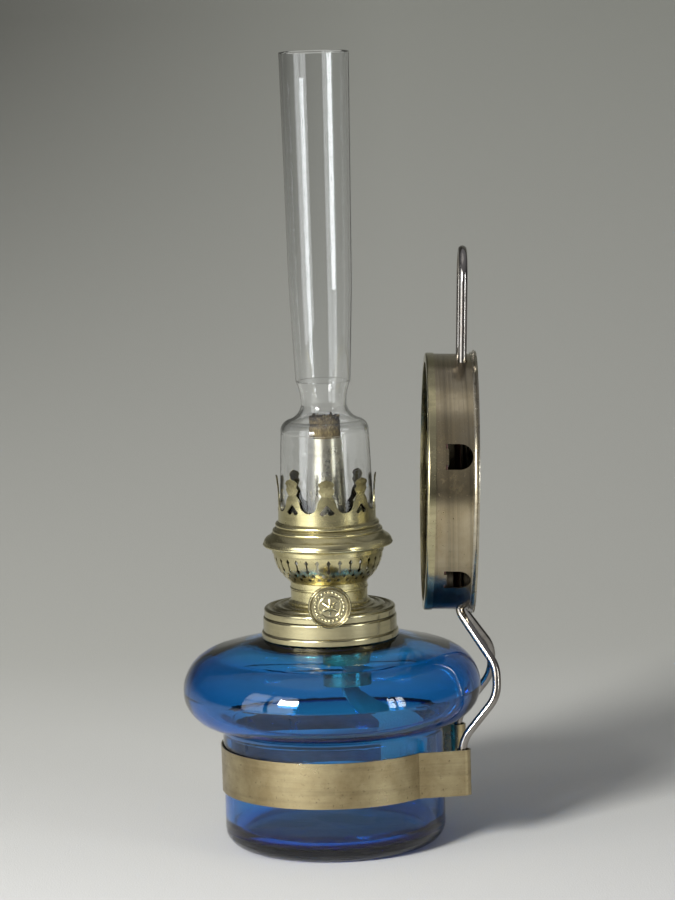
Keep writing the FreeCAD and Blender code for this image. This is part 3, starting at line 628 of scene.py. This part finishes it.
def knob_relief(radius, turn):
    """Height of the knob's pressed ornament over its recess, at a place on its face, in knob radii.

    From the edge in: the rim, a thin ring, the beads, a thin ring, the six-pointed boss and its tip.
    """
    beads = 24
    step = 2.0 * math.pi / beads
    off = (turn + step / 2) % step - step / 2
    bead = math.hypot((radius - 0.665) / 0.055, off * radius / 0.055)
    petal = 0.40 * (0.66 + 0.34 * math.cos(6.0 * turn))
    star = max(0.0, 1.0 - radius / petal)
    heights = [
        KNOB_RIM * ridge(radius, 0.945, 0.055),
        0.045 * ridge(radius, 0.83, 0.03),
        0.05 * math.sqrt(max(0.0, 1.0 - bead * bead)),
        0.028 * ridge(radius, 0.5, 0.03),
        0.10 * min(1.0, 1.5 * star),
        0.115 * ridge(radius, 0.0, 0.13),
    ]
    return max(heights)


def pressed_knob():
    """The wick knob: a reeded rim, two rings, a circle of beads and a six-pointed boss."""
    low, high = (Vector(corner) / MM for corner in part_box("knob"))
    size = (high.x - low.x) / 2
    middle = (high.z + low.z) / 2
    recess = low.y + KNOB_RIM * size
    turns = 240
    rings = 84
    reeds = 80
    work = bmesh.new()

    def loop(radius, depth, reeded):
        """A loop round the knob, at a depth or, without one, on the relief of its face."""
        points = []
        for index in range(turns):
            turn = 2.0 * math.pi * index / turns
            out = radius * (1.0 + reeded * 0.008 * math.cos(reeds * turn)) * size
            y = recess - knob_relief(radius, turn) * size if depth is None else depth
            points.append((out * math.sin(turn), y, middle + out * math.cos(turn)))
        return points

    face = [loop((index + 0.5) / (rings + 0.5) * 0.995, None, 0.0) for index in range(rings)]
    edge = [loop(1.0, recess + 0.1, 1.0), loop(1.0, high.y - 0.5, 1.0)]
    back = [loop(0.95, high.y, 0.0), loop(0.3, high.y, 0.0)]
    capped_loft(work, face + edge + back)
    smooth_piece("knob_pressed", work, "knob", "raiser", "plated_brass")


# ---------------------------------------------------------------- stage, light and camera

# metres and angles of the camera, in front of the lamp, and the lens in millimetres
CAMERA_DISTANCE = 1.608
CAMERA_HEIGHT = 0.389
CAMERA_SIDE = -0.0015
CAMERA_PITCH = math.radians(7.81)
CAMERA_YAW = math.radians(0.24)
CAMERA_ROLL = math.radians(-1.64)
CAMERA_LENS = 153.5


def add_camera():
    """The camera looks along +Y, a little down, turned and rolled."""
    data = bpy.data.cameras.new("camera")
    data.lens = CAMERA_LENS
    data.sensor_width = 36.0
    data.clip_start = 0.1
    data.clip_end = 20.0
    camera = bpy.data.objects.new("camera", data)
    bpy.context.collection.objects.link(camera)
    camera.location = (CAMERA_SIDE, -CAMERA_DISTANCE, CAMERA_HEIGHT)
    aim = Matrix.Rotation(-CAMERA_YAW, 4, "Z") @ Matrix.Rotation(math.radians(90) - CAMERA_PITCH, 4, "X")
    turn = aim @ Matrix.Rotation(CAMERA_ROLL, 4, "Z")
    camera.rotation_euler = turn.to_euler()
    bpy.context.scene.camera = camera


def add_backdrop():
    """A pale cloth that lies under the lamp and curves up far behind it."""
    half_width = 2.4
    front = -2.4
    bend_start = 0.42
    bend_radius = 2.0
    height = 3.0
    section = [(front, 0.0), (0.0, 0.0), (bend_start, 0.0)]
    steps = 24
    for step in range(1, steps + 1):
        angle = math.radians(90) * step / steps
        section.append((bend_start + bend_radius * math.sin(angle), bend_radius * (1 - math.cos(angle))))
    section.append((bend_start + bend_radius, height))
    mesh = bpy.data.meshes.new("backdrop")
    work = bmesh.new()
    rows = [[work.verts.new((side * half_width, y, z)) for y, z in section] for side in (-1, 1)]
    for left, right in zip(zip(rows[0], rows[0][1:]), zip(rows[1], rows[1][1:])):
        work.faces.new((left[0], right[0], right[1], left[1])).smooth = True
    work.to_mesh(mesh)
    backdrop = bpy.data.objects.new("backdrop", mesh)
    bpy.context.collection.objects.link(backdrop)
    dress(backdrop, backdrop_cloth())


def add_area_light(name, place, target, size, power, colour=(1.0, 1.0, 1.0)):
    data = bpy.data.lights.new(name, "AREA")
    data.shape = "RECTANGLE"
    data.size, data.size_y = size
    data.energy = power
    data.color = colour
    lamp = bpy.data.objects.new(name, data)
    bpy.context.collection.objects.link(lamp)
    lamp.location = place
    lamp.rotation_euler = (Vector(target) - Vector(place)).to_track_quat("-Z", "Y").to_euler()


WINDOW_BAR = 0.05


def add_window(name, azimuth, distance, low, high, width, power, colour, rows=1, columns=1):
    """A window as panes with bars between them, azimuth degrees from the front, + to the right."""
    turn = math.radians(azimuth)
    centre = Vector((distance * math.sin(turn), -distance * math.cos(turn), 0.0))
    along = Vector((math.cos(turn), math.sin(turn), 0.0))
    pane_width = (width - WINDOW_BAR * (columns - 1)) / columns
    pane_height = (high - low - WINDOW_BAR * (rows - 1)) / rows
    pane = (pane_width, pane_height)
    share = power / (rows * columns)
    for row in range(rows):
        for column in range(columns):
            side = (column + 0.5) * pane_width + column * WINDOW_BAR - width / 2
            height = low + (row + 0.5) * pane_height + row * WINDOW_BAR
            place = centre + along * side + Vector((0.0, 0.0, height))
            target = Vector((0.0, 0.0, height))
            add_area_light(f"{name}_{row}_{column}", place, target, pane, share, colour)


def add_room():
    """A dim room: lighter above, dark at the height of the lamp, for the metal and glass to reflect."""
    world = bpy.data.worlds.new("room")
    world.use_nodes = True
    tree = world.node_tree
    background = tree.nodes["Background"]
    coordinates = tree.nodes.new("ShaderNodeTexCoord")
    parts = tree.nodes.new("ShaderNodeSeparateXYZ")
    ramp = tree.nodes.new("ShaderNodeValToRGB")
    stops = [
        (0.0, (0.10, 0.095, 0.085)),
        (0.47, (0.03, 0.03, 0.033)),
        (0.62, (0.07, 0.07, 0.078)),
        (1.0, (0.34, 0.34, 0.36)),
    ]
    while len(ramp.color_ramp.elements) < len(stops):
        ramp.color_ramp.elements.new(0.5)
    for element, (place, colour) in zip(ramp.color_ramp.elements, stops):
        element.position = place
        element.color = (*colour, 1.0)
    halve = tree.nodes.new("ShaderNodeMapRange")
    halve.inputs["From Min"].default_value = -1.0
    tree.links.new(coordinates.outputs["Generated"], parts.inputs[0])
    tree.links.new(parts.outputs["Z"], halve.inputs["Value"])
    tree.links.new(halve.outputs["Result"], ramp.inputs["Fac"])
    tree.links.new(ramp.outputs["Color"], background.inputs["Color"])
    background.inputs["Strength"].default_value = 1.0
    bpy.context.scene.world = world


def add_lights():
    """A high window on the left front gives the shadow, and two low ones streak the glass and metal."""
    add_window("left_window", -50.0, 1.15, 0.0, 0.95, 0.85, 7.0, (0.95, 0.98, 1.0), rows=2, columns=2)
    add_window("key", -35.0, 1.25, 0.42, 0.74, 0.34, 38.0, (1.0, 0.99, 0.97))
    add_window("right_window", 50.0, 1.3, 0.05, 0.62, 0.3, 5.0, (0.93, 0.97, 1.0), rows=2, columns=2)
    add_area_light("ceiling", (-0.3, -0.2, 1.9), (0.0, 0.0, 0.1), (1.2, 1.2), 1.5, (1.0, 0.98, 0.94))
    add_room()
    bpy.context.scene.view_settings.view_transform = "Standard"


# ---------------------------------------------------------------- build


dress_cad_nodes()
woven_wick()
pressed_knob()
add_camera()
add_backdrop()
add_lights()
